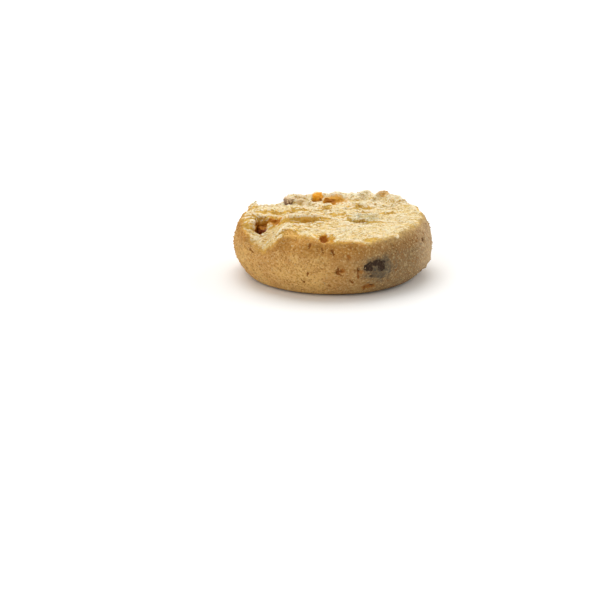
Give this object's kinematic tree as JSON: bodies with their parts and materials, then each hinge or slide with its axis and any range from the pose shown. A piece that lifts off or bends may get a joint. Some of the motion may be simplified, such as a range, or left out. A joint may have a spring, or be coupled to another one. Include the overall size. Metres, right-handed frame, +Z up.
{
  "type": "salted caramel cookie",
  "caption": "Thick round sugared biscuit with a browned side and a torn crumbly top, with caramel and dark chocolate pieces baked in, resting flat on its underside.",
  "frame": {"origin": "centre of the flat underside", "axes": "+Z up through the thickness, -Y towards the front, +X to the right seen from the front"},
  "size_m": [0.0502, 0.0494, 0.0164],
  "materials": {
    "dough": "dry pale golden crumb, browner on the side and underside, no gloss",
    "caramel": "melted amber caramel, orange-brown, softly glossy",
    "chocolate": "dark chocolate with a dull grey bloom",
    "sugar": "small clear sugar crystals that glint"
  },
  "bodies": {
    "root": {"cookie": "dough"}
  },
  "joints": []
}
